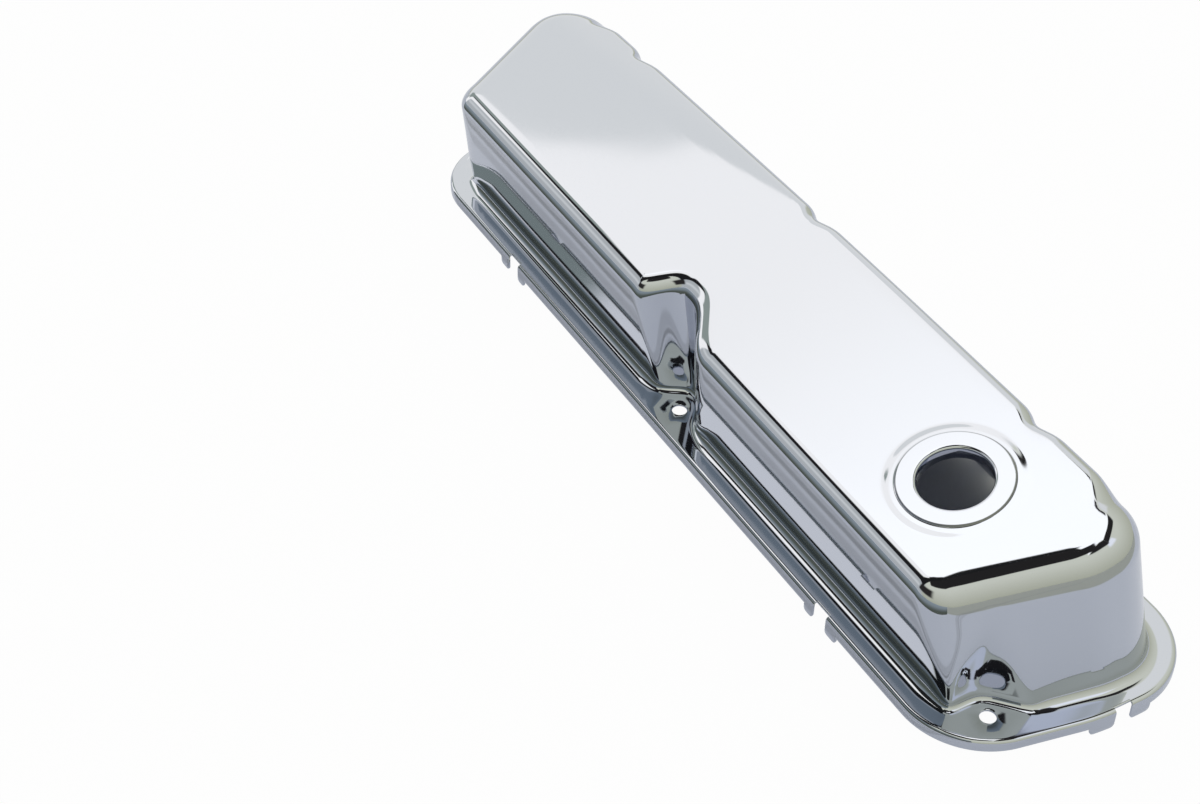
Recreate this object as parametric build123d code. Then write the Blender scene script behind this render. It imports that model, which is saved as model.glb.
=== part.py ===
from build123d import *
from math import cos, radians, sin, tan
import os

# Frame: +X runs along the cover to the filler end, +Y to the side with three recesses, +Z up.
# Heights below are measured from the top face of the flange; the part is lifted at the end so
# that the lowest tabs stand on z = 0. A point is (x, y) in mm; both ends mirror each other.
SHEET = 1.0

# Flange outline at one end: corner A, the bend in the end edge, corner B.
FLANGE_A = (238.2, 62.3)
FLANGE_BEND = (238.2, 4.0)
FLANGE_B = (224.5, -62.3)
FLANGE_CORNER_RADIUS = 38.0
FLANGE_BEND_RADIUS = 100.0
FOLD_RADIUS = 2.0
FOOT_RADIUS = 3.0

# Turned-down lip: its depth, the deeper run along side A, and the locating tabs.
LIP_DEPTH = 5.7
LIP_DEPTH_A = 7.2
LIP_A_HALF = 206.0
LIP_A_START_Y = 55.0
TAB_DEPTH = 9.5
TAB_TIP_RADIUS = 1.8
GAP_SET_IN = 2.2
TABS_A = [(66.0, 74.0), (84.0, 96.5)]
GAPS_A = [(-8.5, 8.5), (74.0, 84.0), (96.5, 118.0)]
TABS_B = [(124.0, 130.0), (139.5, 147.0)]
GAPS_B = [(130.0, 139.5)]
TABS_END = [(-1.0, 10.5), (19.0, 29.0)]
GAPS_END = [(10.5, 19.0)]

# Drawn body. The flat top falls towards side B and the draw axis leans with it, so the wall of
# side A slopes in and the wall of side B hangs out over the flange.
TOP_TILT = 14.0
TOP_AT = (0.0, -19.5, 72.9)
TOP_A = (218.3, 25.3)
TOP_BEND = (218.3, -4.0)
TOP_B = (192.4, -61.4)
BASE_A = (226.5, 49.5)
BASE_BEND = (226.5, 14.0)
BASE_B = (215.5, -48.8)
CORNER_A_RADIUS = 24.0
CORNER_BEND_RADIUS = 60.0
CORNER_B_RADIUS = 15.0
TOP_EDGE_RADIUS = 6.0
WALL_LEAN = 1.04
BODY_BELOW = 4.0

# Shallow bevel that widens along side A towards the end without the filler.
BEVEL_FROM = (30.0, 25.3)
BEVEL_TO = (-200.0, 4.0)
BEVEL_SLOPE = 20.0
BEVEL_RADIUS = 20.0
BEVEL_INNER_DROP = 1.3

# Deep notch of side B: outline at the flange and at NOTCH_HIGH above it.
NOTCH_LOW = [(-20.0, -60.0), (-9.5, -36.5), (1.5, -36.5), (24.0, -60.0)]
NOTCH_TOP = [(-26.0, -72.0), (-13.0, -45.5), (6.0, -45.5), (34.0, -72.0)]
NOTCH_HIGH = 66.0
NOTCH_INNER_RADIUS = 5.0
NOTCH_SHOULDER_STEEP = 8.0
NOTCH_SHOULDER_GENTLE = 12.0

# Recesses of side A beside the bolts: a gentle flank, a crease and a steep flank, about each bolt.
RECESS_LOW = [(22.0, 51.5), (1.5, 42.3), (-10.5, 51.5), (-10.5, 90.0), (22.0, 90.0)]
RECESS_TOP = [(8.0, 26.5), (-5.0, 22.3), (-16.0, 26.5), (-16.0, 70.0), (8.0, 70.0)]
RECESS_HIGH = 84.0
RECESS_CREASE_RADIUS = 5.0
RECESS_GENTLE_RADIUS = 12.0
RECESS_STEEP_RADIUS = 6.0

# Pocket in each end, about its bolt: a wall across the cover and a slanting flank.
POCKET_LOW = [(-10.4, -58.7), (-10.4, 3.0), (7.3, 19.3), (44.8, 19.3), (44.8, -58.7)]
POCKET_TOP = [(-5.6, -70.7), (-5.6, 0.2), (7.3, 12.1), (44.8, 12.1), (44.8, -70.7)]
POCKET_HIGH = 60.0
POCKET_INNER_RADIUS = 10.0
POCKET_CORNER_RADIUS = 8.0
TOOL_REACH = 6.0

# The long walls by the corner lines at their ends.
WALL_A = (5, 0)
WALL_B = (2, 3)

# Bolts: three along side A, one in each end pocket and one in the notch of side B.
BOLT_RADIUS = 3.5
BOLT_A_SPACING = 156.9
BOLT_A_Y = 52.8
BOLT_END = (215.2, -36.3)
BOLT_NOTCH = (0.0, -48.1)

# Filler: a two-step raised seat around a hole whose edge is drawn down as a collar.
FILLER_AT = (156.4, -19.5)
FILLER_RADIUS = 15.5
SEAT_OUTER_RADIUS = 27.6
SEAT_OUTER_RISE = 0.4
SEAT_INNER_RADIUS = 23.8
SEAT_INNER_RISE = 1.3
COLLAR_DEPTH = 7.0
COLLAR_BEND_RADIUS = 0.4


def top_height(y):
    return TOP_AT[2] + (y - TOP_AT[1]) * tan(radians(TOP_TILT))


def top_normal():
    return Vector(0, -sin(radians(TOP_TILT)), cos(radians(TOP_TILT)))


def top_plane(drop):
    return Plane(origin=Vector(*TOP_AT) - top_normal() * drop, x_dir=(1, 0, 0), z_dir=top_normal())


def on_top(point):
    return Vector(point[0], point[1], top_height(point[1]))


def both_ends(x, y, z=0.0):
    return [(x, y, z), (-x, y, z)]


def near(shape, points):
    return [shape.edges().sort_by_distance(point)[0] for point in points]


def crossing(line, other):
    """Where two lines meet in plan, each given by two points."""
    (ax, ay), (bx, by) = line
    (cx, cy), (dx, dy) = other
    run = (bx - ax, by - ay)
    side = (dx - cx, dy - cy)
    share = ((cx - ax) * side[1] - (cy - ay) * side[0]) / (run[0] * side[1] - run[1] * side[0])
    return (ax + run[0] * share, ay + run[1] * share)


def corner_lines():
    pairs = [(TOP_A, BASE_A), (TOP_BEND, BASE_BEND), (TOP_B, BASE_B)]
    right = [(on_top(top), Vector(base[0], base[1], 0)) for top, base in pairs]
    left = [(Vector(-t.X, t.Y, t.Z), Vector(-b.X, b.Y, b.Z)) for t, b in reversed(right)]
    return right + left


def corner_mids(index):
    top, base = corner_lines()[index]
    mid = (top + base) * 0.5
    return both_ends(mid.X, mid.Y, mid.Z)


def wall_line(first, second, level):
    """The wall between two corner lines, in plan, at a level over the flange."""
    points = []
    for top, base in (corner_lines()[first], corner_lines()[second]):
        at = base + (top - base) * (level / top.Z)
        points.append((at.X, at.Y))
    return points


def body_ring(plane, inset):
    points = []
    for top, base in corner_lines():
        run = base - top
        reach = (plane.origin - top).dot(plane.z_dir) / run.dot(plane.z_dir)
        local = plane.to_local_coords(top + run * reach)
        points.append((local.X, local.Y))
    face = make_face(Polyline(*points, close=True))
    if inset:
        face = offset(face, amount=-inset * WALL_LEAN, kind=Kind.INTERSECTION)
    return plane * face


def outline_at(low, high, height, level):
    """Outline of a clearance at a level, between its outlines at the flange and at its height."""
    share = level / height
    return [(a[0] + (b[0] - a[0]) * share, a[1] + (b[1] - a[1]) * share) for a, b in zip(low, high)]


def clearance_tool(low, high, height, grow, radius, rounded):
    """Solid that a clearance is cut with: two outlines joined by straight flanks."""
    rings = []
    for level in (-TOOL_REACH, height + TOOL_REACH):
        points = outline_at(low, high, height, level)
        face = make_face(Polyline(*points, close=True))
        if grow:
            face = offset(face, amount=grow, kind=Kind.INTERSECTION)
        for index in rounded:
            corner = face.vertices().sort_by_distance((*points[index], 0))[0]
            face = fillet(corner, radius + grow)
        rings.append(Pos(0, 0, level) * face)
    return loft(rings, ruled=True)


def bevel_tool(inset):
    start = on_top(BEVEL_FROM)
    along = (on_top(BEVEL_TO) - start).normalized()
    across = along.cross(top_normal()).normalized()
    normal = top_normal() * cos(radians(BEVEL_SLOPE)) + across * sin(radians(BEVEL_SLOPE))
    drop = BEVEL_INNER_DROP * inset
    plane = Plane(origin=start - normal * drop, x_dir=along, z_dir=normal)
    return plane * Pos(0, 0, 25) * Box(900, 300, 50)


def moved(outline, x, y=0.0):
    return [(x + px, y + py) for px, py in outline]


def shoulder(body, wall, low, high, height, side, level):
    """The edge where one flank of a clearance leaves a wall."""
    outline = outline_at(low, high, height, level)
    x, y = crossing(wall_line(*wall, level), (outline[side], outline[side + 1]))
    return near(body, [(x, y, level)])


def drawn_body(inset):
    """Body above the flange, offset inwards by inset, with its edges rounded."""
    body = loft([body_ring(top_plane(inset), inset), body_ring(Plane.XY.offset(-BODY_BELOW), inset)], ruled=True)
    body = fillet(near(body, corner_mids(1)), CORNER_BEND_RADIUS)
    body = fillet(near(body, corner_mids(0)), CORNER_A_RADIUS - inset)
    body = fillet(near(body, corner_mids(2)), CORNER_B_RADIUS - inset)
    body -= bevel_tool(inset)
    notch = (NOTCH_LOW, NOTCH_TOP, NOTCH_HIGH)
    body -= clearance_tool(*notch, inset, NOTCH_INNER_RADIUS, (1, 2))
    recesses = []
    for x in (-BOLT_A_SPACING, 0.0, BOLT_A_SPACING):
        recess = (moved(RECESS_LOW, x), moved(RECESS_TOP, x), RECESS_HIGH)
        recesses.append(recess)
        body -= clearance_tool(*recess, inset, RECESS_CREASE_RADIUS, (1,))
    pocket = (moved(POCKET_LOW, *BOLT_END), moved(POCKET_TOP, *BOLT_END), POCKET_HIGH)
    tool = clearance_tool(*pocket, inset, POCKET_INNER_RADIUS, (1,))
    body -= tool
    body -= mirror(tool, Plane.YZ)

    corner = shoulder(body, WALL_B, *pocket, 0, 15.0)[0] @ 0.5
    body = fillet(near(body, both_ends(*corner)), POCKET_CORNER_RADIUS - inset)
    body = fillet(shoulder(body, WALL_B, *notch, 0, 30.0), NOTCH_SHOULDER_STEEP - inset)
    body = fillet(shoulder(body, WALL_B, *notch, 2, 30.0), NOTCH_SHOULDER_GENTLE - inset)
    for recess in recesses:
        body = fillet(shoulder(body, WALL_A, *recess, 0, 40.0), RECESS_GENTLE_RADIUS - inset)
        body = fillet(shoulder(body, WALL_A, *recess, 1, 40.0), RECESS_STEEP_RADIUS - inset)
    crest = (on_top(BEVEL_FROM) + on_top(BEVEL_TO)) * 0.5 - top_normal() * inset
    body = fillet(near(body, [crest]), BEVEL_RADIUS - inset)
    return fillet(rim_edges(body), TOP_EDGE_RADIUS - inset)


def rim_edges(body):
    """Edges around the flat top and the bevel, where they meet the walls."""
    flats = [face for face in body.faces() if face.normal_at(face.center()).Z > 0.93]
    seen = {}
    for face in flats:
        for edge in face.edges():
            mid = edge @ 0.5
            seen.setdefault((round(mid.X, 2), round(mid.Y, 2), round(mid.Z, 2)), []).append(edge)
    return [edges[0] for edges in seen.values() if len(edges) == 1]


def flange_block(inset, depth):
    points = [FLANGE_A, FLANGE_BEND, FLANGE_B]
    face = make_face(Polyline(*points, *[(-x, y) for x, y in reversed(points)], close=True))
    for point, radius in zip(points, (FLANGE_CORNER_RADIUS, FLANGE_BEND_RADIUS, FLANGE_CORNER_RADIUS)):
        corners = [face.vertices().sort_by_distance(at)[0] for at in both_ends(*point)]
        face = fillet(corners, radius)
    if inset:
        face = offset(face, amount=-inset, kind=Kind.INTERSECTION)
    block = extrude(Pos(0, 0, -depth) * face, depth - inset)
    rim = block.faces().sort_by(Axis.Z)[-1].edges()
    return fillet(rim, FOLD_RADIUS - inset)


def formed_solid(inset, depth):
    """Body and flange as one solid, with the concave radius where they meet."""
    body = drawn_body(inset) - Pos(0, 0, -50 - 0.5 - inset) * Box(700, 300, 100)
    solid = flange_block(inset, depth) + body
    level = [face for face in solid.faces().filter_by(Plane.XY) if abs(face.center().Z + inset) < 1e-4]
    around = max(level, key=lambda face: face.area).inner_wires()
    return fillet([edge for wire in around for edge in wire.edges()], FOOT_RADIUS + inset)


def mirrored(spans):
    return spans + [(-b, -a) for a, b in spans if a > 0]


def tab_block(span, side):
    low, high = span
    tip = RectangleRounded(high - low, TAB_DEPTH + 2 * TAB_TIP_RADIUS, TAB_TIP_RADIUS)
    centre = (low + high) / 2
    rise = TAB_TIP_RADIUS - TAB_DEPTH / 2
    reach = FLANGE_A[1]
    if side == "end":
        blocks = [Plane.YZ * Pos(centre, rise, 0) * tip]
        solid = extrude(blocks[0], 300)
        return solid + mirror(solid, Plane.YZ)
    turned = extrude(Plane.XZ * Pos(centre, rise, 0) * tip, 2 * reach)
    return turned if side == "B" else mirror(turned, Plane.XZ)


def gap_block(span, side):
    low, high = span
    middle = (low + high) / 2
    width = high - low
    if side == "end":
        edge = FLANGE_A[0] - GAP_SET_IN
        block = Pos(edge + 10, middle, 0) * Box(20, width, 40)
        return block + mirror(block, Plane.YZ)
    edge = FLANGE_A[1] - GAP_SET_IN
    block = Pos(middle, edge + 10, 0) * Box(width, 20, 40)
    return block if side == "A" else mirror(block, Plane.XZ)


def lip_trim():
    """Everything below the lip's edge except the tabs, and the gaps in the fold."""
    below = TAB_DEPTH + 1 - LIP_DEPTH
    trim = Pos(0, 0, -LIP_DEPTH - below / 2) * Box(600, 200, below)
    run = LIP_DEPTH_A - LIP_DEPTH
    trim -= Pos(0, LIP_A_START_Y + 25, -LIP_DEPTH - run / 2) * Box(2 * LIP_A_HALF, 50, run)
    for side, spans in (("A", mirrored(TABS_A)), ("B", mirrored(TABS_B)), ("end", TABS_END)):
        for span in spans:
            trim -= tab_block(span, side)
    for side, spans in (("A", mirrored(GAPS_A)), ("B", mirrored(GAPS_B)), ("end", GAPS_END)):
        for span in spans:
            trim += gap_block(span, side)
    return trim


def filler_plane():
    return Plane(origin=on_top(FILLER_AT), x_dir=(1, 0, 0), z_dir=top_normal())


def seat_disc(radius, rise, inset):
    """Raised disc of the seat, reaching a little below the top so that it joins on."""
    low = -inset - 2.0
    return filler_plane() * Pos(0, 0, low) * extrude(Circle(radius - inset), rise - inset - low)


def with_seat(solid, inset):
    solid += seat_disc(SEAT_OUTER_RADIUS, SEAT_OUTER_RISE, inset)
    return solid + seat_disc(SEAT_INNER_RADIUS, SEAT_INNER_RISE, inset)


def circle_edge(shape, radius, height):
    """The circular edge about the filler axis at a height over the top plane."""
    plane = filler_plane()
    centre = plane.origin + plane.z_dir * height
    for edge in shape.edges().filter_by(GeomType.CIRCLE):
        if abs(edge.radius - radius) < 1e-3 and (edge.arc_center - centre).length < 1e-3:
            return edge
    raise ValueError("no circle of that radius at that height")


def with_collar(shell):
    outer = FILLER_RADIUS + SHEET
    top = SEAT_INNER_RISE
    ring = Circle(outer) - Circle(FILLER_RADIUS)
    shell -= filler_plane() * Pos(0, 0, top - COLLAR_DEPTH) * extrude(Circle(outer - 0.2), COLLAR_DEPTH + 5)
    shell += filler_plane() * Pos(0, 0, top - COLLAR_DEPTH) * extrude(ring, COLLAR_DEPTH)
    shell = fillet(circle_edge(shell, outer, top - SHEET), COLLAR_BEND_RADIUS)
    return fillet(circle_edge(shell, FILLER_RADIUS, top), COLLAR_BEND_RADIUS + SHEET)


def bolt_holes():
    drill = Pos(0, 0, -5) * extrude(Circle(BOLT_RADIUS), 10)
    places = [(x, BOLT_A_Y) for x in (-BOLT_A_SPACING, 0.0, BOLT_A_SPACING)] + [BOLT_NOTCH]
    places += [(x, y) for x, y, _ in both_ends(*BOLT_END)]
    return [Pos(x, y, 0) * drill for x, y in places]


def cover_shell():
    outside = with_seat(formed_solid(0.0, TAB_DEPTH), 0.0)
    inside = with_seat(formed_solid(SHEET, TAB_DEPTH + 5), SHEET)
    shell = with_collar(outside - inside)
    shell -= lip_trim()
    for hole in bolt_holes():
        shell -= hole
    return Pos(0, 0, TAB_DEPTH) * shell


os.makedirs("parts", exist_ok=True)
shell = cover_shell()
shell.label = "cover_shell"
export_step(shell, "parts/cover_shell.step")
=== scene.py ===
import math
import bmesh
import bpy
import numpy as np
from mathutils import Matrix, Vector
from mathutils.geometry import delaunay_2d_cdt


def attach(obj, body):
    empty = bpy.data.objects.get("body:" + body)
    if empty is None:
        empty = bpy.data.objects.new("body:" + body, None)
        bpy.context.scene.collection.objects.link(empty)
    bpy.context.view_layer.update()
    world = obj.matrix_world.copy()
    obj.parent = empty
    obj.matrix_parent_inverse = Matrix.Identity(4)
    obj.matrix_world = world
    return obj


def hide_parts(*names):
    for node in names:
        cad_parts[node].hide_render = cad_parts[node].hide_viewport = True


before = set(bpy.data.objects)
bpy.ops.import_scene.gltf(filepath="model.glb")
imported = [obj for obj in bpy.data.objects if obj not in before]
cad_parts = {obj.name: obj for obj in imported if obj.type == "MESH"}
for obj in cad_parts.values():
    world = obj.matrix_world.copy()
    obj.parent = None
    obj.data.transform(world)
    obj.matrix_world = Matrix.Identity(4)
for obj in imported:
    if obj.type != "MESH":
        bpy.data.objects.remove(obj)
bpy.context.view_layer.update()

# The cover is one pressed sheet. Its sizes are in mm in the part's frame, with heights over the flange's top
# face, and they turn to metres when the mesh is made. Side A has three bolt recesses, side B the deep notch.
body = dict(
    sheet=1.0, tilt=14.0, topY=-19.5, topZ=72.9,
    topA=(223.5, 25.5), topBend=(223.5, -4.0), topB=(195.5, -61.4), topRadii=(20.0, 35.0, 14.0),
    baseA=(226.5, 49.5), baseBend=(226.5, 14.0), baseB=(215.5, -48.8), baseRadii=(26.0, 60.0, 16.0),
    edgeA=6.5, edgeB=8.0, edgeEnd=15.0, endFrom=186.0, endFade=16.0,
    footTight=3.0, footWide=5.2, footClear=14.0, footFade=14.0,
    rimSteps=16, wallSteps=26, footSteps=8)
bolts = dict(radius=3.5, a=[(-156.9, 52.8), (0.0, 52.8), (156.9, 52.8)],
             b=[(-215.2, -36.3), (0.0, -48.1), (215.2, -36.3)])


def smoothMin(a, b, width):
    # the smaller of two values, with the corner between them rounded over a width
    near = np.maximum(width - np.abs(a - b), 0.0) / width
    return np.minimum(a, b) - near * near * width / 4.0


def smoothMax(a, b, width):
    # the larger of two values: the rounded minimum of both turned over
    return -smoothMin(-a, -b, width)


def smoothStep(share):
    # three times the square less twice the cube: level at both ends
    return share * share * (3 - 2 * share)


def between(a, b, share):
    # a at share 0, b at share 1, straight between
    return a + (b - a) * share


def unit(v):
    # each vector over its own length
    return v / np.maximum(np.linalg.norm(v, axis=-1, keepdims=True), 1e-12)


# the flat top and the shallow bevel beside it
bevel = dict(start=(30.0, 25.3), end=(-200.0, 4.0), slope=20.0, blend=2.0)
tanTilt = math.tan(math.radians(body["tilt"]))
cosTilt = math.cos(math.radians(body["tilt"]))
topNormal = np.array([0.0, -math.sin(math.radians(body["tilt"])), cosTilt])


def planeHeight(y):
    # height of the tilted top: its height on the filler's line plus the way across times the slope
    return body["topZ"] + (y - body["topY"]) * tanTilt


def bevelPlane():
    # a point and the normal: the top's normal turned by the bevel's slope about the crease line
    start, end = (np.array([x, y, planeHeight(y)]) for x, y in (bevel["start"], bevel["end"]))
    across = np.cross(unit(end - start), topNormal)
    turn = math.radians(bevel["slope"])
    return start, topNormal * math.cos(turn) + across * math.sin(turn)


bevelAt, bevelNormal = bevelPlane()


def topHeight(x, y):
    # the lower of the tilted top and the bevel plane, blended along their crease
    fall = (bevelNormal[0] * (x - bevelAt[0]) + bevelNormal[1] * (y - bevelAt[1])) / bevelNormal[2]
    return smoothMin(planeHeight(y), bevelAt[2] - fall, bevel["blend"])


# clearances pressed into the walls
notch = dict(
    sideY=-20.0, reach=60.0, high=66.0, backLow=-36.5, backHigh=-44.0, steepLow=-9.5, steepHigh=-11.5,
    gentleLow=1.5, gentleHigh=2.5, steep=2.2, gentle=(1.0, 0.66), inner=4.0, shoulder=5.0)


def pressNotch(x, y, z):
    # wall B pushed in behind its bolt: the least of a back line, a steep flank and a gentle flank
    n = notch
    share = z / n["high"]
    back = between(n["backLow"], n["backHigh"], share)
    steep = back - n["steep"] * (between(n["steepLow"], n["steepHigh"], share) - x)
    gentle = back - between(*n["gentle"], share) * (x - between(n["gentleLow"], n["gentleHigh"], share))
    hollow = smoothMin(smoothMin(back, steep, n["inner"]), gentle, n["inner"])
    near = (y < n["sideY"]) & (np.abs(x) < n["reach"])
    return np.where(near, smoothMax(y, hollow, n["shoulder"]), y)


recess = dict(
    sideY=5.0, reach=45.0, high=84.0, creaseX=1.5, creaseShift=-6.5, creaseY=42.3, creaseRise=-20.0,
    gentleLow=0.449, gentleHigh=0.323, steepLow=0.767, steepHigh=0.382, inner=2.0, shoulder=1.4)


def pressRecesses(x, y, z, plainY):
    # wall A pushed in at each bolt: the larger of two flanks that meet in a leaning crease
    r = recess
    share = z / r["high"]
    crease = r["creaseY"] + r["creaseRise"] * share
    for boltX, _ in bolts["a"]:
        away = x - (boltX + r["creaseX"] + r["creaseShift"] * share)
        gentle = crease + between(r["gentleLow"], r["gentleHigh"], share) * away
        steep = crease - between(r["steepLow"], r["steepHigh"], share) * away
        near = (np.abs(away) < r["reach"]) & (plainY > r["sideY"])
        y = np.where(near, smoothMin(y, smoothMax(gentle, steep, r["inner"]), r["shoulder"]), y)
    return y


pocket = dict(
    sideY=20.0, reach=180.0, wall=204.8, wallLean=0.08, turnX=204.0, turnY=-34.0, slope=1.09, lean=0.12,
    turn=4.0, rim=2.5)


def pressPockets(x, y, z, plainY):
    # each end wall held back beside its bolt: no further out than a leaning wall and a slanted flank
    p = pocket
    flank = p["turnX"] + p["slope"] * (y + p["lean"] * z - p["turnY"])
    wall = smoothMax(p["wall"] + p["wallLean"] * z, flank, p["turn"])
    near = (np.abs(x) > p["reach"]) & (plainY < p["sideY"])
    return np.where(near, np.sign(x) * smoothMin(np.abs(x), wall, p["rim"]), x)


def formed(points):
    # the plain wall after the notch, then the recesses, then the pockets
    x, plainY, z = points[..., 0], points[..., 1], points[..., 2]
    y = pressRecesses(x, pressNotch(x, plainY, z), z, plainY)
    return np.stack([pressPockets(x, y, z, plainY), y, z], axis=-1)


# closed outlines with rounded corners
def roundedOutline(corners, radii, cornerSteps, sidePlaces):
    # straight sides and circular corners, every outline cut at the same shares of each side
    corners = np.array(corners, float)
    starts, ends, arcs = [], [], []
    for i, here in enumerate(corners):
        before = unit(corners[i - 1] - here)
        after = unit(corners[(i + 1) % len(corners)] - here)
        angle = math.acos(np.clip(before @ after, -1, 1))
        reach = radii[i] / math.tan(angle / 2)
        starts.append(here + before * reach)
        ends.append(here + after * reach)
        centre = here + unit(before + after) * (radii[i] / math.sin(angle / 2))
        startAngle = math.atan2(*(starts[-1] - centre)[::-1])
        turns = startAngle + (math.pi - angle) * np.linspace(0, 1, cornerSteps[i] + 1)
        arcs.append(centre + radii[i] * np.stack([np.cos(turns), np.sin(turns)], axis=1))
    pieces = []
    for i, arc in enumerate(arcs):
        run = starts[(i + 1) % len(arcs)] - ends[i]
        pieces += [arc[:-1], ends[i] + run * np.array(sidePlaces[i])[:, None]]
    return np.concatenate(pieces)


def places(total, step, dense=(), denseStep=0.7):
    # shares of a side at even steps, closer over the stretches named in dense
    marks = [0.0]
    while marks[-1] < 1.0:
        at = marks[-1] * total
        fine = any(first <= at <= last for first, last in dense)
        marks.append(marks[-1] + (denseStep if fine else step) / total)
    return np.array(marks[:-1]) / marks[-1]


def sixCorners(a, bend, b):
    # the right half's three corners and their mirror images, anticlockwise from B at -X
    return [(-b[0], b[1]), b, bend, a, (-a[0], a[1]), (-bend[0], bend[1])]


def sixRadii(three):
    # the radii of A, bend and B in the order of the six corners
    a, bend, b = three
    return (b, b, bend, a, a, bend)


def toSlope(corner):
    # a corner seen from above, as it lies in the tilted top plane
    return (corner[0], (corner[1] - body["topY"]) / cosTilt)


# How closely the outline is cut, in mm along each run; the spans are along X.
cuts = dict(
    corners=(26, 26, 8, 34, 34, 8), side=1.6, notch=0.6, notchSpan=(-34.0, 42.0),
    recess=0.7, recessSpans=[(-185.0, -125.0), (-28.0, 32.0), (125.0, 190.0)],
    sideA=430.0, end=60.0, endStep=0.8, bend=24.0, bendStep=4.0)


def outlineCuts():
    # the shares at which the six sides are cut, denser beside the notch and the recesses
    c = cuts
    sideB = 2 * body["topB"][0]
    notchSpan = [tuple(sideB / 2 + at for at in c["notchSpan"])]
    recessSpans = [(c["sideA"] / 2 + first, c["sideA"] / 2 + last) for first, last in c["recessSpans"]]
    end, bend = places(c["end"], c["endStep"]), places(c["bend"], c["bendStep"])
    return [places(sideB, c["side"], notchSpan, c["notch"]), end, bend,
            places(c["sideA"], c["side"], recessSpans, c["recess"]), bend, end]


def bodyLoops():
    # the foot's outline on the flange, and the rim's outline drawn in the tilted plane and set up on it
    b = body
    base = roundedOutline(sixCorners(b["baseA"], b["baseBend"], b["baseB"]), sixRadii(b["baseRadii"]),
                          cuts["corners"], outlineCuts())
    slope = roundedOutline(sixCorners(toSlope(b["topA"]), toSlope(b["topBend"]), toSlope(b["topB"])),
                           sixRadii(b["topRadii"]), cuts["corners"], outlineCuts())
    y = slope[:, 1] * cosTilt + b["topY"]
    return lifted(base, np.zeros(len(base))), np.column_stack([slope[:, 0], y, planeHeight(y)])


def lifted(points, height):
    # flat points with a height each
    return np.column_stack([points, height])


baseLoop, topLoop = bodyLoops()
wallLength = np.linalg.norm(topLoop - baseLoop, axis=1)
stations = len(baseLoop)

# where the pressed walls are eased, in mm, and how many times
soft = dict(notchHalf=34.0, notchY=-20.0, pocketFrom=188.0, pocketY=-26.0, pocketHigh=62.0,
            fade=8.0, highFade=25.0, rounds=34)


def relaxed(row):
    # each station moves toward the middle of its neighbours, over and over, where notch and pockets turn
    x, y, z = np.abs(row[:, 0]), row[:, 1], row[:, 2]
    ease = np.clip((soft["notchHalf"] - x) / soft["fade"], 0, 1) * (y < soft["notchY"])
    low = np.clip((soft["pocketHigh"] - z) / soft["highFade"], 0, 1)
    ease += (np.clip((x - soft["pocketFrom"]) / soft["fade"], 0, 1)
             * np.clip((soft["pocketY"] - y) / soft["fade"], 0, 1) * low)
    row = row.copy()
    for _ in range(soft["rounds"]):
        middle = (np.roll(row, 1, axis=0) + np.roll(row, -1, axis=0)) / 2
        row[:, :2] += (ease[:, None] / 2 * (middle - row))[:, :2]
    return row


def wallAt(share):
    # straight line from the foot to the rim at each station, pushed in by the clearances, then relaxed
    return relaxed(formed(between(baseLoop, topLoop, np.asarray(share)[..., None])))


def around(loop):
    # direction of a closed row of points at each of them; the nearer neighbour counts more
    ahead = np.roll(loop, -1, axis=0) - loop
    behind = np.roll(ahead, 1, axis=0)
    return unit(ahead / np.sum(ahead ** 2, axis=1, keepdims=True)
                + behind / np.sum(behind ** 2, axis=1, keepdims=True))


def findRim(rounds=25):
    # the share of each wall line at which it meets the top, closed in on by going to the top's height there
    share = np.ones(stations)
    for _ in range(rounds):
        edge = wallAt(share)
        share = topHeight(edge[:, 0], edge[:, 1]) / topLoop[:, 2]
    return share, wallAt(share)


def conic(first, middle, last, steps):
    # rational curve between two tangents: a true arc where both tangents are equally long
    turn = np.sum(unit(first - middle) * unit(last - middle), axis=-1)
    weight = np.sqrt(np.clip((1 - turn) / 2, 1e-6, 1))[:, None]
    t = np.linspace(0, 1, steps + 1)[:, None, None]
    a, b, c = (1 - t) ** 2, 2 * t * (1 - t) * weight, t * t
    return (a * first + b * middle + c * last) / (a + b + c)


def edgeRadius():
    # rounding of the rim: larger at the two ends than along the sides
    side = np.where(rim[:, 1] > 0, body["edgeA"], body["edgeB"])
    ends = np.clip((np.abs(rim[:, 0]) - body["endFrom"]) / body["endFade"], 0, 1)
    return between(side, body["edgeEnd"], smoothStep(ends))


def footRadius():
    # rounding of the foot: tight beside the bolts, wider away from them
    at = np.array(bolts["a"] + bolts["b"])
    gap = np.min(np.linalg.norm(foot[:, None, :2] - at[None], axis=2), axis=1)
    ease = np.clip((gap - body["footClear"]) / body["footFade"], 0, 1)
    return between(body["footTight"], body["footWide"], smoothStep(ease))


def setBack(radius, one, two):
    # how far from a corner its arc begins: the radius over the tangent of half the corner's angle
    turn = np.clip(np.sum(one * two, axis=-1), -1, 1)
    return radius * np.sqrt((1 + turn) / (1 - turn))


# The outer face: the rim's arc, the wall and the foot's arc, each row a closed run of stations.
rimShare, rim = findRim()
wallDown = unit(wallAt(rimShare - 0.03) - rim)
inward = unit(np.cross(topNormal, around(rim)))
rimBack = setBack(edgeRadius(), inward, wallDown)
rimTop = rim + inward * rimBack[:, None]
rimTop[:, 2] = topHeight(rimTop[:, 0], rimTop[:, 1])
topShare = rimShare - rimBack / wallLength
rimRows = conic(rimTop, rim, wallAt(topShare), body["rimSteps"])

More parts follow.
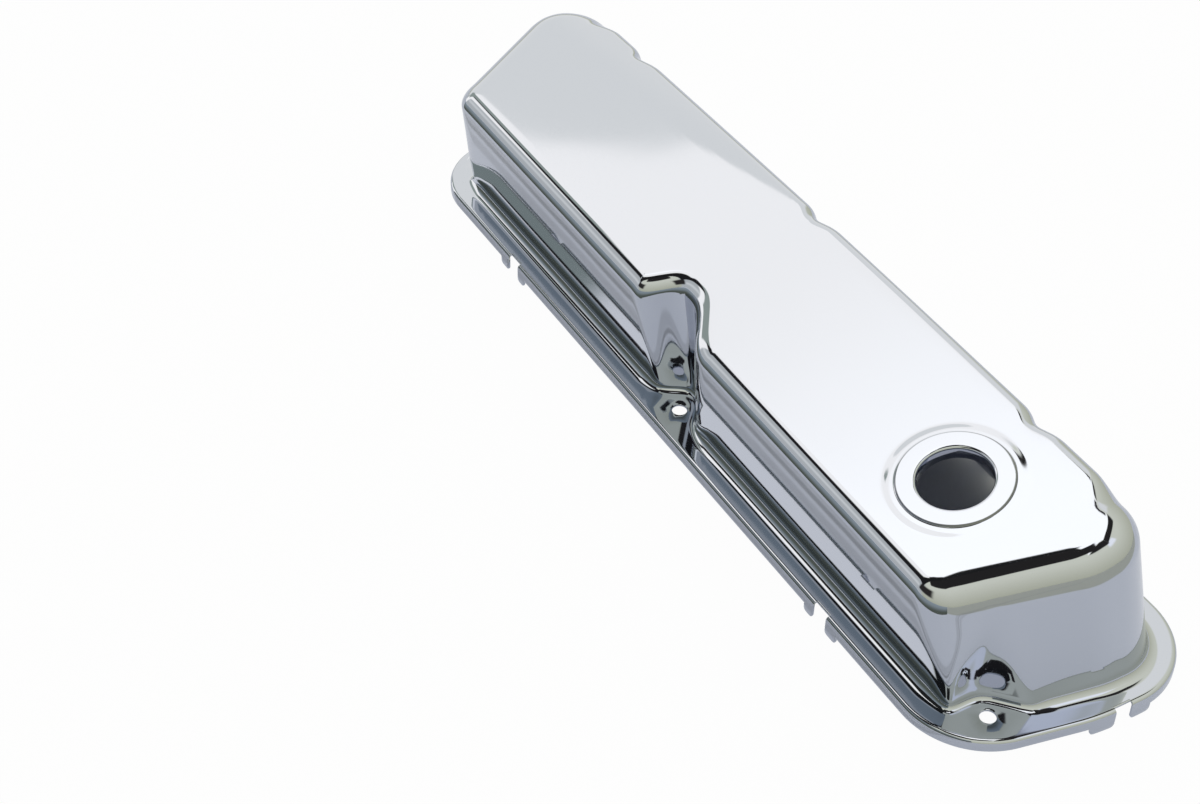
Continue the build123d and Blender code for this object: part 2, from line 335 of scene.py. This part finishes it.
foot = wallAt(np.zeros(stations))
footUp = unit(wallAt(np.full(stations, 0.04)) - foot)
footOut = unit(np.cross(around(foot), np.array([0.0, 0.0, 1.0])))
footBack = setBack(footRadius(), footUp, footOut)
footShare = footBack / wallLength
footRows = conic(wallAt(footShare), foot, foot + footOut * footBack[:, None], body["footSteps"])

wallShares = np.arange(1, body["wallSteps"]) / body["wallSteps"]
wallRows = [wallAt(between(topShare, footShare, share)) for share in wallShares]
bodyRows = np.concatenate([rimRows, wallRows, footRows])
print("body grid", bodyRows.shape, flush=True)

# filler seat: two soft steps, a round mouth and a drawn collar, about an axis square to the top
filler = dict(
    x=156.4, y=-19.5, hole=15.5, mouth=1.4, collar=7.0, outer=27.6, outerRise=0.4, inner=23.8, innerRise=1.3,
    outerStep=[(3.0, 0.0), (2.0, 0.0), (1.4, 0.05), (0.7, 0.25), (0.0, 0.5), (-0.7, 0.75), (-1.4, 0.95),
               (-2.0, 1.0)],
    innerFrom=0.4, innerTo=-0.3, edge=0.2, steps=160)


def seatProfile():
    # pairs of radius and height over the top: in over both steps, round the mouth, down the collar and
    # back under the sheet
    f, sheet = filler, body["sheet"]
    hole, outer, inner = f["hole"], f["outer"], f["inner"]
    top, ledge, edge = f["innerRise"], f["outerRise"], f["edge"]
    bottom = top - f["collar"]
    share = np.linspace(0, 1, 9)[1:]
    turn = np.linspace(0, math.pi / 2, 9)
    innerStep = [inner + between(f["innerFrom"], f["innerTo"], share), between(ledge, top, smoothStep(share))]
    mouth = [hole + f["mouth"] * (1 - np.sin(turn)), top - f["mouth"] * (1 - np.cos(turn))]
    return np.concatenate([
        [(outer + out, ledge * up) for out, up in f["outerStep"]],
        [(inner + 0.9, ledge)], np.transpose(innerStep), [(inner - 0.6, top), (hole + f["mouth"] + 0.5, top)],
        np.transpose(mouth),
        [(hole, bottom + edge), (hole + edge, bottom), (hole + sheet - edge, bottom),
         (hole + sheet, bottom + edge), (hole + sheet, top - sheet - 0.5), (hole + sheet + 0.5, top - sheet),
         (inner - 1.0 - sheet, top - sheet), (inner + 0.4 - sheet, ledge - sheet),
         (outer - 0.5 - sheet, ledge - sheet), (outer + 0.5 - sheet, -sheet), (outer + 3.0, -sheet)]])


def seatRings():
    # each profile point carried round the filler's axis
    centre = np.array([filler["x"], filler["y"], planeHeight(filler["y"])])
    across = np.array([1.0, 0.0, 0.0])
    turns = np.linspace(0, 2 * math.pi, filler["steps"], endpoint=False)[:, None]
    spoke = across * np.cos(turns) + np.cross(topNormal, across) * np.sin(turns)
    radius, height = seatProfile().T[:, :, None, None]
    return centre + spoke * radius + topNormal * height


# flange, its fold and the lip with tabs and gaps; spans are along X on the sides and along Y at the ends
flange = dict(
    top=9.5, foldRadius=2.0, seam=0.7, lip=5.7, lipSideA=7.2, lipSideAHalf=206.0, tab=9.5, tabTip=1.8,
    a=(238.2, 62.3), bend=(238.2, 4.0), b=(224.5, -62.3), cornerRadius=38.0, bendRadius=100.0,
    tabs=dict(A=[(66.0, 74.0), (84.0, 96.5)], B=[(124.0, 130.0), (139.5, 147.0)],
              end=[(-1.0, 10.5), (19.0, 29.0)]),
    gaps=dict(A=[(-8.5, 8.5), (74.0, 84.0), (96.5, 118.0)], B=[(130.0, 139.5)], end=[(10.5, 19.0)]),
    sideFrom=55.0, endFrom=205.0, step=1.5, tipCuts=(0.0, 0.02, 0.12, 0.45, 1.0, 1.8), edge=0.25)


def fineOutline():
    # the flange's outline at close steps, with the length run so far and the way out at each point
    f = flange
    radii = sixRadii((f["cornerRadius"], f["bendRadius"], f["cornerRadius"]))
    even = np.linspace(0, 1, 4000, endpoint=False)
    line = roundedOutline(sixCorners(f["a"], f["bend"], f["b"]), radii, (1500,) * 6, [even] * 6)
    step = np.linalg.norm(np.roll(line, -1, axis=0) - line, axis=1)
    length = np.concatenate([[0], np.cumsum(step)[:-1]])
    run = unit(np.roll(line, -3, axis=0) - np.roll(line, 3, axis=0))
    return line, length, step.sum(), np.stack([run[:, 1], -run[:, 0]], axis=1)


def spansAlong(line, length, wanted):
    # lengths along the outline between which a tab or a gap lies, mirrored to both ends
    def nearest(miss, ok):
        return length[int(np.argmin(np.where(ok, miss, 1e9)))]

    found = []
    for side, sign in (("A", 1), ("B", -1)):
        ok = line[:, 1] * sign > flange["sideFrom"]
        pairs = wanted[side] + [(-last, -first) for first, last in wanted[side] if first > 0]
        found += [sorted(nearest(np.abs(line[:, 0] - x), ok) for x in pair) for pair in pairs]
    for pair in wanted["end"]:
        for sign in (1, -1):
            ok = line[:, 0] * sign > flange["endFrom"]
            found.append(sorted(nearest(np.abs(line[:, 1] - y), ok) for y in pair))
    return found


def flangeStations():
    # stations along the outline, close at each tab's and gap's ends, with the lip's depth and its open cells
    f = flange
    line, length, total, out = fineOutline()
    tabs, gaps = (spansAlong(line, length, f[kind]) for kind in ("tabs", "gaps"))
    marks = [np.arange(0, total, f["step"])]
    nudge = f["tipCuts"][1]
    for first, last in tabs + gaps:
        marks += [np.add(first, f["tipCuts"]), np.subtract(last, f["tipCuts"]), [first - nudge, last + nudge]]
    marks = np.unique(np.round(np.concatenate(marks) % total, 3))
    index = np.searchsorted(length, marks).clip(0, len(line) - 1)
    here = line[index]
    deep = (here[:, 1] > f["sideFrom"]) & (np.abs(here[:, 0]) < f["lipSideAHalf"])
    depth = np.where(deep, f["lipSideA"], f["lip"])
    for first, last in tabs:
        inside = (marks >= first - 1e-4) & (marks <= last + 1e-4)
        near = np.minimum(marks - first, last - marks).clip(0, f["tabTip"])
        tip = f["tabTip"] - np.sqrt(np.maximum(f["tabTip"] ** 2 - (f["tabTip"] - near) ** 2, 0))
        depth[inside] = f["tab"] - tip[inside]
    middle = (marks + np.roll(marks, -1)) / 2
    middle[-1] = marks[-1] + 0.01
    openCell = np.zeros(len(marks), bool)
    for first, last in gaps:
        openCell |= (middle > first) & (middle < last)
    return here, out[index], depth, openCell


edgeLine, edgeOut, lipDepth, gapCell = flangeStations()
print("flange stations", len(edgeLine), flush=True)


def flangeRow(inset, height):
    # the outline moved in by the inset, at one height or at a height for each station
    return lifted(edgeLine - edgeOut * inset, np.broadcast_to(height, len(edgeLine)))


def lipRows():
    # the fold's outer arc, down the lip, round its lower edge, up inside and the fold's inner arc
    r, t, edge = flange["foldRadius"], body["sheet"], flange["edge"]
    outer, inner = np.linspace(0, math.pi / 2, 10), np.linspace(math.pi / 2, 0, 5)[1:]
    rows = [flangeRow(r - r * math.sin(turn), -r + r * math.cos(turn)) for turn in outer]
    rows += [flangeRow(0.0, -r - (lipDepth - edge - r) * share) for share in (0.33, 0.66, 1.0)]
    rows += [flangeRow(0.08, -lipDepth + 0.07), flangeRow(edge, -lipDepth), flangeRow(t - edge, -lipDepth),
             flangeRow(t, -lipDepth + edge), flangeRow(t, -r)]
    rows += [flangeRow(r - (r - t) * math.sin(turn), -r + (r - t) * math.cos(turn)) for turn in inner]
    return np.array(rows)


# mesh building
class Sheet:
    # gathers grids and flat fills as arrays, then welds them into one mesh
    def __init__(self):
        self.points = []
        self.faces = []
        self.count = 0

    def add(self, points, faces):
        # faces are rows of point numbers, which go on from the points gathered so far
        self.points.append(np.asarray(points, float).reshape(-1, 3))
        self.faces += (np.asarray(faces) + self.count).tolist()
        self.count += len(self.points[-1])

    def grid(self, rows, flip=False, keep=None):
        # four-sided faces between neighbouring rows and stations, round the closed run
        rows = np.asarray(rows)
        down, along = rows.shape[:2]
        station = np.arange(along) if keep is None else np.flatnonzero(keep)
        start = np.arange(down - 1)[:, None] * along
        here, beside = start + station, start + (station + 1) % along
        faces = np.stack([here, here + along, beside + along, beside], axis=-1).reshape(-1, 4)
        self.add(rows, faces[:, ::-1] if flip else faces)

    def mesh(self, name, lift, weld=2e-6):
        # raised by lift, in metres, with points nearer than the weld joined
        points = (np.concatenate(self.points) + [0.0, 0.0, lift]) * 0.001
        data = bpy.data.meshes.new(name)
        data.from_pydata(points.tolist(), [], self.faces)
        shape = bmesh.new()
        shape.from_mesh(data)
        bmesh.ops.remove_doubles(shape, verts=shape.verts, dist=weld)
        shape.to_mesh(data)
        shape.free()
        data.shade_smooth()
        return data


def insideLoop(points, loop):
    # a point is inside if a line from it to +X crosses the closed outline an odd number of times
    x, y = points[:, 0, None], points[:, 1, None]
    x0, y0 = loop[:, 0], loop[:, 1]
    x1, y1 = np.roll(x0, -1), np.roll(y0, -1)
    rise = np.where(y1 == y0, 1.0, y1 - y0)
    crossed = ((y0 > y) != (y1 > y)) & (x < (x1 - x0) * (y - y0) / rise + x0)
    return np.count_nonzero(crossed, axis=1) % 2 == 1


def insideRing(points, outer, holes):
    # inside the outer outline and outside every hole
    keep = insideLoop(points, outer)
    for hole in holes:
        keep &= ~insideLoop(points, hole)
    return keep


def filled(outer, holes, spacing, clear=0.55):
    # Delaunay triangles between an outline and its holes, over a staggered lattice of inner points that
    # stays clear of the outlines by a share of its spacing
    loops = [loop[:, :2] for loop in [outer, *holes]]
    rims = np.concatenate(loops)
    first = np.cumsum([0] + [len(loop) for loop in loops])
    numbers = [start + np.arange(len(loop)) for start, loop in zip(first, loops)]
    edges = np.concatenate([np.stack([n, np.roll(n, -1)], axis=1) for n in numbers])
    lowCorner, highCorner = loops[0].min(axis=0), loops[0].max(axis=0)
    across, up = (np.arange(lowCorner[i], highCorner[i], spacing) for i in (0, 1))
    lattice = np.stack(np.meshgrid(across, up), axis=-1).reshape(-1, 2)
    lattice[:, 0] += (np.round(lattice[:, 1] / spacing) % 2) * spacing / 2
    lattice = lattice[insideRing(lattice, loops[0], loops[1:])]
    nearest = np.min(np.sum((lattice[:, None] - rims) ** 2, axis=2), axis=1)
    lattice = lattice[nearest >= (clear * spacing) ** 2]
    given = [Vector(point) for point in np.concatenate([rims, lattice]).tolist()]
    result = delaunay_2d_cdt(given, edges.tolist(), [], 0, 1e-5)
    points, triangles = np.array([*map(tuple, result[0])]), np.array(result[2])
    triangles = triangles[insideRing(points[triangles].mean(axis=1), loops[0], loops[1:])]
    a, b, c = (points[triangles[:, i]] for i in range(3))
    area = (b[:, 0] - a[:, 0]) * (c[:, 1] - a[:, 1]) - (b[:, 1] - a[:, 1]) * (c[:, 0] - a[:, 0])
    triangles[area < 0] = triangles[area < 0][:, ::-1]
    return points, triangles


def circle(x, y, radius, steps=40):
    # points at equal turns round a centre
    turns = np.linspace(0, 2 * math.pi, steps, endpoint=False)
    return np.stack([x + radius * np.cos(turns), y + radius * np.sin(turns)], axis=1)


def offsetRows(rows, amount):
    # the same grid moved along its normals, for the inner face of the sheet
    along = np.roll(rows, -1, axis=1) - np.roll(rows, 1, axis=1)
    down = np.gradient(rows, axis=0)
    return rows - unit(np.cross(down, along)) * amount


fill = dict(top=4.0, flange=7.0, inner=8.0, boltEdge=0.15)  # lattice steps and the bolt holes' soft edge, mm
boltAt = bolts["a"] + bolts["b"]
boltRims = [circle(x, y, bolts["radius"] + fill["boltEdge"]) for x, y in boltAt]
seatRows = seatRings()
seam = flange["seam"]  # narrow ring between a bend and the flat fill beside it


def outerFace(cover):
    # body, flat top, filler seat and flange, welded along shared rows
    ring = bodyRows[-1] + footOut * seam
    cover.grid(np.concatenate([bodyRows, ring[None]]))
    points, triangles = filled(bodyRows[0], [seatRows[0]], fill["top"])
    cover.add(lifted(points, topHeight(*points.T)), triangles)
    cover.grid(seatRows, flip=True)
    foldLine = flangeRow(flange["foldRadius"] + seam, 0.0)
    points, triangles = filled(foldLine, [ring] + boltRims, fill["flange"])
    cover.add(lifted(points, np.zeros(len(points))), triangles)
    cover.grid([foldLine, flangeRow(flange["foldRadius"], 0.0)])


def lipFace(cover):
    # the lip where it stands, the fold's cut edge across each gap, and a flat face at each end of a gap
    lip = lipRows()
    cover.grid(lip, keep=~gapCell)
    cover.grid([lip[0], lip[-1]], keep=gapCell)
    for j in np.flatnonzero(gapCell != np.roll(gapCell, 1)):
        face = np.arange(len(lip))
        cover.add(lip[:, j], [face if gapCell[j] else face[::-1]])


def innerFace(cover):
    # the body moved in by the sheet's thickness, at every second row and station, and the undersides
    sheet = body["sheet"]
    inner = offsetRows(bodyRows, sheet)
    inner[0][:, 2] = topHeight(inner[0][:, 0], inner[0][:, 1]) - sheet / cosTilt
    inner[-1][:, 2] = -sheet
    rows = np.unique([*range(0, len(inner), 2), len(inner) - 1])
    inner = inner[rows, ::2]
    ring = inner[-1] + footOut[::2] * seam
    cover.grid(np.concatenate([inner, ring[None]]), flip=True)
    points, triangles = filled(inner[0], [seatRows[-1]], fill["inner"])
    cover.add(lifted(points, topHeight(*points.T) - sheet / cosTilt), triangles[:, ::-1])
    foldLine = flangeRow(flange["foldRadius"] + seam, -sheet)
    points, triangles = filled(foldLine, [ring] + boltRims, fill["inner"])
    cover.add(lifted(points, np.full(len(points), -sheet)), triangles[:, ::-1])
    cover.grid([flangeRow(flange["foldRadius"], -sheet), foldLine])


def boltHoles(cover):
    # a tube through the flange at each bolt, a little wider at both faces
    sheet, edge = body["sheet"], fill["boltEdge"]
    profile = ((edge, 0.0), (0.0, -edge), (0.0, edge - sheet), (edge, -sheet))
    for x, y in boltAt:
        rings = [circle(x, y, bolts["radius"] + wider) for wider, _ in profile]
        cover.grid([lifted(ring, np.full(len(ring), height)) for ring, (_, height) in zip(rings, profile)],
                   flip=True)


cover = Sheet()
for makeFace in (outerFace, lipFace, innerFace, boltHoles):
    makeFace(cover)
shell = bpy.data.objects.new("coverShell", cover.mesh("coverShell", flange["top"]))
bpy.context.scene.collection.objects.link(shell)
print("cover", len(shell.data.vertices), "points", flush=True)


# materials
def colour(text, strength=1.0):
    # sRGB hex to linear values: the standard's straight foot and power curve, times a strength
    values = [int(text[i:i + 2], 16) / 255 for i in (1, 3, 5)]
    return [strength * (v / 12.92 if v <= 0.04045 else ((v + 0.055) / 1.055) ** 2.4) for v in values] + [1.0]


def addNode(tree, kind, inputs=(), output=0, **settings):
    # One node with its settings. Inputs are a list in the order of its sockets, or a dictionary by socket;
    # each is a value or another node's output. It gives the output asked for, or all of them for None.
    node = tree.nodes.new("ShaderNode" + kind)
    for key, value in settings.items():
        setattr(node, key, value)
    for socket, source in inputs.items() if isinstance(inputs, dict) else enumerate(inputs):
        if isinstance(source, bpy.types.NodeSocket):
            tree.links.new(source, node.inputs[socket])
        else:
            node.inputs[socket].default_value = source
    if output is None or not node.outputs:
        return node.outputs
    return node.outputs[output]


# Lengths are in mm; the seat's centre and its painted shade line are in the part's frame.
# ringShade and the last dark colour paint shade into the seat's crease line
chrome = dict(tint="#bcc1cb", roughness=(0.03, 0.06), wave=80.0, waveDepth=0.12, grain=0.6,
              seat=(156.4, -19.5, 83.2), ring=23.9, ringHalf=(0.15, 0.45), ringShade=0.6, creaseShade="#2c2b2a")


def brightChrome():
    # bright plate on polished pressed steel: a cool mirror, faintly wavy, with fine buffing grain in its
    # gloss, and a dark line of painted shade in the crease of the filler seat
    c = chrome
    material = bpy.data.materials.new("brightChromePlate")
    material.use_nodes = True
    tree = material.node_tree
    place = addNode(tree, "TexCoord", output="Object")
    # slow waves of the pressed sheet, 80 mm apart: the pattern's scale is 1000 mm over 80 mm
    wave = addNode(tree, "TexNoise", {"Vector": place, "Scale": 1000 / c["wave"], "Detail": 1.5,
                                      "Roughness": 0.4}, output="Fac")
    bump = addNode(tree, "Bump", {"Height": wave, "Distance": c["waveDepth"] / 1000})
    # buffing grain 0.6 mm apart, coarser than the real one so that it shows
    grain = addNode(tree, "TexNoise", {"Vector": place, "Scale": 1000 / c["grain"], "Detail": 2.0},
                    output="Fac")
    gloss = addNode(tree, "MapRange", [grain, 0.3, 0.7, *c["roughness"]], interpolation_type="SMOOTHSTEP")
    # painted shade: a soft dark line painted into the crease of the filler seat's inner step
    seat = tuple(v / 1000 for v in c["seat"])
    reach = addNode(tree, "VectorMath", [place, seat], output="Value", operation="DISTANCE")
    miss = addNode(tree, "Math", [reach, c["ring"] / 1000], operation="SUBTRACT")
    miss = addNode(tree, "Math", [miss], operation="ABSOLUTE")
    dark, clear = (half / 1000 for half in c["ringHalf"])
    line = addNode(tree, "MapRange", [miss, clear, dark, 0.0, c["ringShade"]],
                   interpolation_type="SMOOTHSTEP")
    # the tint mixed toward the dark colour along the ring: painted shade
    tint = addNode(tree, "Mix", {0: line, 6: colour(c["tint"]), 7: colour(c["creaseShade"])}, output=2,
                   data_type="RGBA")
    shader = tree.nodes["Principled BSDF"]
    shader.inputs["Metallic"].default_value = 1.0
    for socket, source in (("Base Color", tint), ("Roughness", gloss), ("Normal", bump)):
        tree.links.new(source, shader.inputs[socket])
    return material


shell.data.materials.append(brightChrome())
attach(shell, "root")
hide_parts("cover_shell")
print("chrome", flush=True)


def plane(name, corners, material):
    # one flat face through four corners, with its material
    mesh = bpy.data.meshes.new(name)
    mesh.from_pydata(corners, [], [(0, 1, 2, 3)])
    mesh.materials.append(material)
    made = bpy.data.objects.new(name, mesh)
    bpy.context.scene.collection.objects.link(made)
    return made


# Floor places are in metres. The paper ends beyond the +X end; the bench there shows in the metal only,
# and so do the painted shade bands (place, half width, depth) on the paper in front of side B.
ground = dict(
    half=6.0, paper="#e4e6ef", cameraShare=0.97, mirrorShare=0.48, mirrored="#f2f5ff",
    paperEnd=0.318, paperEdge=0.006, bench="#b5b698", under=(0.18, -0.038, 0.060),
    shadeBands=[(-0.0735, 0.0028, 0.28), (-0.0695, 0.0009, 0.62), (-0.0655, 0.0016, 0.3)])


def whiteFloor():
    # white paper: mostly its own white to the camera, shaded near the cover in the metal, with painted
    # shade bands in front of side B there, dark under it
    g = ground
    material = bpy.data.materials.new("whitePaperFloor")
    material.use_nodes = True
    tree = material.node_tree
    tree.nodes.clear()
    path = addNode(tree, "LightPath", output=None)
    place = addNode(tree, "TexCoord", output="Object")
    x, y, _ = addNode(tree, "SeparateXYZ", [place], output=None)
    glossy = path["Is Glossy Ray"]
    # white, then the mirrored tone, then the bench past the paper's end
    paint = addNode(tree, "Mix", {0: glossy, 6: colour("#ffffff"), 7: colour(g["mirrored"])}, output=2,
                    data_type="RGBA")
    beyond = addNode(tree, "MapRange", [x, g["paperEnd"] - g["paperEdge"], g["paperEnd"] + g["paperEdge"],
                                        0.0, glossy], interpolation_type="SMOOTHSTEP")
    paint = addNode(tree, "Mix", {0: beyond, 6: paint, 7: colour(g["bench"])}, output=2, data_type="RGBA")
    # painted shade: dark bands along the paper in front of side B, seen only in the metal
    for at, half, depth in g["shadeBands"]:
        off = addNode(tree, "Math", [y, at], operation="SUBTRACT")
        off = addNode(tree, "Math", [off], operation="ABSOLUTE")
        most = addNode(tree, "Math", [glossy, depth], operation="MULTIPLY")
        shade = addNode(tree, "MapRange", [off, half * 1.4, half * 0.6, 0.0, most],
                        interpolation_type="SMOOTHSTEP")
        paint = addNode(tree, "Mix", {0: shade, 6: paint, 7: colour("#000000")}, output=2, data_type="RGBA")
    # the share of its own white: none under the cover, some to the metal, most to the camera
    reachX, fromY, toY = g["under"]
    overX = addNode(tree, "Math", [addNode(tree, "Math", [x], operation="ABSOLUTE"), reachX],
                    operation="SUBTRACT")
    offY = addNode(tree, "Math", [y, (fromY + toY) / 2], operation="SUBTRACT")
    overY = addNode(tree, "Math", [addNode(tree, "Math", [offY], operation="ABSOLUTE"), (toY - fromY) / 2],
                    operation="SUBTRACT")
    clear = addNode(tree, "Math", [addNode(tree, "Math", [overX, overY], operation="MAXIMUM"), 0.0],
                    operation="GREATER_THAN")
    own = addNode(tree, "Math", [path["Is Camera Ray"], g["cameraShare"]], operation="MULTIPLY")
    own = addNode(tree, "Math", [glossy, g["mirrorShare"], own], operation="MULTIPLY_ADD")
    own = addNode(tree, "Math", [own, clear], operation="MULTIPLY")
    paper = addNode(tree, "BsdfDiffuse", {"Color": colour(g["paper"])})
    white = addNode(tree, "Emission", {"Color": paint, "Strength": 1.0})
    addNode(tree, "OutputMaterial", {"Surface": addNode(tree, "MixShader", [own, paper, white])})
    return material


# painted shade beside side B, seen only in the metal: a glowing panel, darker at its foot, in metres
shadeCard = dict(y=-0.112, lift=0.0005, height=0.066, reach=0.30, fadeFrom=0.3, low="#666b60", high="#a9b3b6")


def mirroredShadeCard():
    # painted shade: a glowing dark panel beside the cover, seen in the metal only and clear to all other
    # rays;
    # it gives the foot of the wall its dark band of shade
    material = bpy.data.materials.new("mirroredShadeCard")
    material.use_nodes = True
    tree = material.node_tree
    tree.nodes.clear()
    place = addNode(tree, "TexCoord", output="Object")
    height = addNode(tree, "SeparateXYZ", [place], output="Z")
    share = addNode(tree, "MapRange", [height, shadeCard["fadeFrom"] * shadeCard["height"], shadeCard["height"]],
                    interpolation_type="SMOOTHSTEP")
    tone = addNode(tree, "Mix", {0: share, 6: colour(shadeCard["low"]), 7: colour(shadeCard["high"])}, output=2,
                   data_type="RGBA")
    glossy = addNode(tree, "LightPath", output="Is Glossy Ray")
    clear = addNode(tree, "BsdfTransparent")
    glow = addNode(tree, "Emission", {"Color": tone, "Strength": 1.0})
    addNode(tree, "OutputMaterial", {"Surface": addNode(tree, "MixShader", [glossy, clear, glow])})
    return material


# Each panel spans an azimuth from +X, centre and half width, and two heights over the horizon, in degrees.
# A bow lowers its lower edge by so much times the square of the azimuth from its ridge, on each side.
# A line (a, b, c) keeps what lies where a times the direction's x plus b times its y is over c.
studio = dict(
    low="#bdbd9f", high="#f6f5e0", highStrength=1.1, horizon=(-30, 50), lineEdge=0.012,
    panels=[
        # pale wall in front of side B, with two light strips and a grey one: the streaks of wall B
        dict(span=(-135, 45, -60, 50), edges=(10, 6, 6), colour="#dfe0dc", strength=1.0),
        dict(span=(-145, 30, 16, 26), edges=(4, 4, 4), colour="#f6f6f0", strength=1.1),
        dict(span=(-145, 30, -13, -3), edges=(4, 4, 4), colour="#f6f6f0", strength=1.1),
        dict(span=(-145, 30, -40, -20), edges=(4, 4, 4), colour="#bfc0b8", strength=1.0),
        # dark screen: the marks beside the bolts
        dict(span=(-85, 24, 14, 42), edges=(5, 4, 4), colour="#393634", strength=1.0),
        # bright wall behind the far end, and the bowed panel over it that whitens most of the top
        dict(span=(155, 30, 5, 50), edges=(3, 3, 0.5), colour="#fffdf6", strength=1.2),
        dict(span=(178, 32, 45.6, 73), edges=(2, 0.35, 1), ridge=168, bow=(0.0175, 0.066),
             colour="#fffaf2", strength=1.64),
        # bright ceiling: the near end of the top
        dict(span=(0, 190, 54, 95), edges=(2, 5, 1), lines=[(0, 1, -0.05), (-0.6, -1, -0.26)],
             colour="#fffcf6", strength=1.9),
        dict(span=(36, 15, 49, 63), edges=(4, 4, 4), lines=[(0.6, 1, 0.3)], colour="#fdfdff", strength=1.4),
        # dark ceiling: the band along the near edge and the line round the corner beside it
        dict(span=(0, 190, 58, 95), edges=(2, 1.5, 1), colour="#302e2d", strength=1.0,
             lines=[(0, -1, 0.05), (1, -1, -0.24), (-1, 0, -0.43), (0.8, 1, -0.4)]),
        dict(span=(88, 60, 52, 95), edges=(3, 2, 1), lines=[(0.6, 1, 0.27), (-0.6, -1, -0.5)],
             colour="#302e2d", strength=1.0),
        dict(span=(5, 25, 58.5, 95), edges=(3, 1.5, 1), lines=[(0.6, 1, 0.27)], colour="#302e2d",
             strength=1.0),
        dict(span=(0, 190, 58, 95), edges=(2, 1.5, 1), colour="#302e2d", strength=1.0,
             lines=[(1, 0, 0.12), (-1, 0, -0.43), (0, 1, -0.07), (0, -1, -0.1)]),
        dict(span=(141, 9, 53, 56.5), edges=(1.5, 1, 1), colour="#302e2d", strength=1.0),
        # grey patch and dark strips: the thin line along the upper edge of side B
        dict(span=(-171, 9, 15, 46.8), edges=(1.5, 1, 0.5), colour="#b4bdb2", strength=1.0),
        dict(span=(-145, 21, 38.5, 48), edges=(2, 1.2, 1), colour="#2a2a2a", strength=0.9),
        dict(span=(-121, 26, 39, 95), edges=(2, 1.2, 2), lines=[(1, -1, -0.24)], colour="#2a2a2a",
             strength=0.9)])


def panelMask(tree, panel, toward, azimuth, height):
    # The product of the panel's smooth edges: each edge takes the mask so far as the value that it rises to.
    centre, half, bottom, top = panel["span"]
    sideEdge, lowEdge, topEdge = panel["edges"]
    turned = addNode(tree, "Math", [azimuth, centre], operation="SUBTRACT")
    turned = addNode(tree, "Math", [turned, 180.0, -180.0], operation="WRAP")
    away = addNode(tree, "Math", [turned], operation="ABSOLUTE")
    bowed = height
    if "bow" in panel:
        over = addNode(tree, "Math", [azimuth, panel["ridge"]], operation="SUBTRACT")
        over = addNode(tree, "Math", [over, 180.0, -180.0], operation="WRAP")
        for sign, amount in zip((-1.0, 1.0), panel["bow"]):
            reach = addNode(tree, "Math", [over, sign], operation="MULTIPLY")
            reach = addNode(tree, "Math", [reach, 0.0], operation="MAXIMUM")
            square = addNode(tree, "Math", [reach, reach], operation="MULTIPLY")
            bowed = addNode(tree, "Math", [square, amount, bowed], operation="MULTIPLY_ADD")
    edges = [(away, half + sideEdge, half - sideEdge), (bowed, bottom - lowEdge, bottom + lowEdge),
             (height, top + topEdge, top - topEdge)]
    for alongX, alongY, least in panel.get("lines", []):
        reach = addNode(tree, "VectorMath", [toward, (alongX, alongY, 0.0)], output="Value",
                        operation="DOT_PRODUCT")
        edges.append((reach, least - studio["lineEdge"], least + studio["lineEdge"]))
    mask = 1.0
    for value, first, last in edges:
        mask = addNode(tree, "MapRange", [value, first, last, 0.0, mask], interpolation_type="SMOOTHSTEP")
    return mask


def studioWorld():
    # a pale room with panels laid over it one by one, read by the ray's direction; plain white to the camera
    scene = bpy.context.scene
    scene.world = bpy.data.worlds.new("studio")
    scene.world.use_nodes = True
    tree = scene.world.node_tree
    tree.nodes.clear()
    toward = addNode(tree, "TexCoord", output="Generated")
    x, y, z = addNode(tree, "SeparateXYZ", [toward], output=None)
    azimuth = addNode(tree, "Math", [y, x], operation="ARCTAN2")
    azimuth = addNode(tree, "Math", [azimuth], operation="DEGREES")
    height = addNode(tree, "Math", [z], operation="ARCSINE")
    height = addNode(tree, "Math", [height], operation="DEGREES")
    level = addNode(tree, "MapRange", [height, *studio["horizon"]])
    above = colour(studio["high"], studio["highStrength"])
    light = addNode(tree, "Mix", {0: level, 6: colour(studio["low"]), 7: above}, output=2, data_type="RGBA")
    for panel in studio["panels"]:
        mask = panelMask(tree, panel, toward, azimuth, height)
        paint = colour(panel["colour"], panel["strength"])
        light = addNode(tree, "Mix", {0: mask, 6: light, 7: paint}, output=2, data_type="RGBA")
    seen = addNode(tree, "LightPath", output="Is Camera Ray")
    light = addNode(tree, "Mix", {0: seen, 6: light, 7: colour("#ffffff")}, output=2, data_type="RGBA")
    addNode(tree, "OutputWorld", {"Surface": addNode(tree, "Background", {"Color": light, "Strength": 1.0})})


half = ground["half"]
floor = plane("floor", [(-half, -half, 0), (half, -half, 0), (half, half, 0), (-half, half, 0)], whiteFloor())
# the panel of painted shade beside side B
reach, cardY, cardFoot, cardTop = shadeCard["reach"], shadeCard["y"], shadeCard["lift"], shadeCard["height"]
screen = plane("shadeCard", [(-reach, cardY, cardFoot), (reach, cardY, cardFoot), (reach, cardY, cardTop),
                        (-reach, cardY, cardTop)], mirroredShadeCard())
studioWorld()
print("studio", flush=True)

# The photograph's camera: its focal length in pixels of the photograph, its place in metres and its turn in
# degrees about X, then Y, then Z.
view = dict(photoWidth=1200, focal=2200.27, sensor=36.0, place=(0.627995, -0.462395, 0.678685),
            turn=(48.46825, -0.86243, 60.12704))
camera = bpy.data.objects.new("camera", bpy.data.cameras.new("camera"))
bpy.context.scene.collection.objects.link(camera)
camera.data.sensor_width = view["sensor"]
camera.data.lens = view["focal"] / view["photoWidth"] * view["sensor"]
camera.data.clip_start = 0.05
camera.data.clip_end = 30
camera.location = view["place"]
camera.rotation_euler = [math.radians(angle) for angle in view["turn"]]
bpy.context.scene.camera = camera
bpy.context.scene.view_settings.view_transform = "Standard"
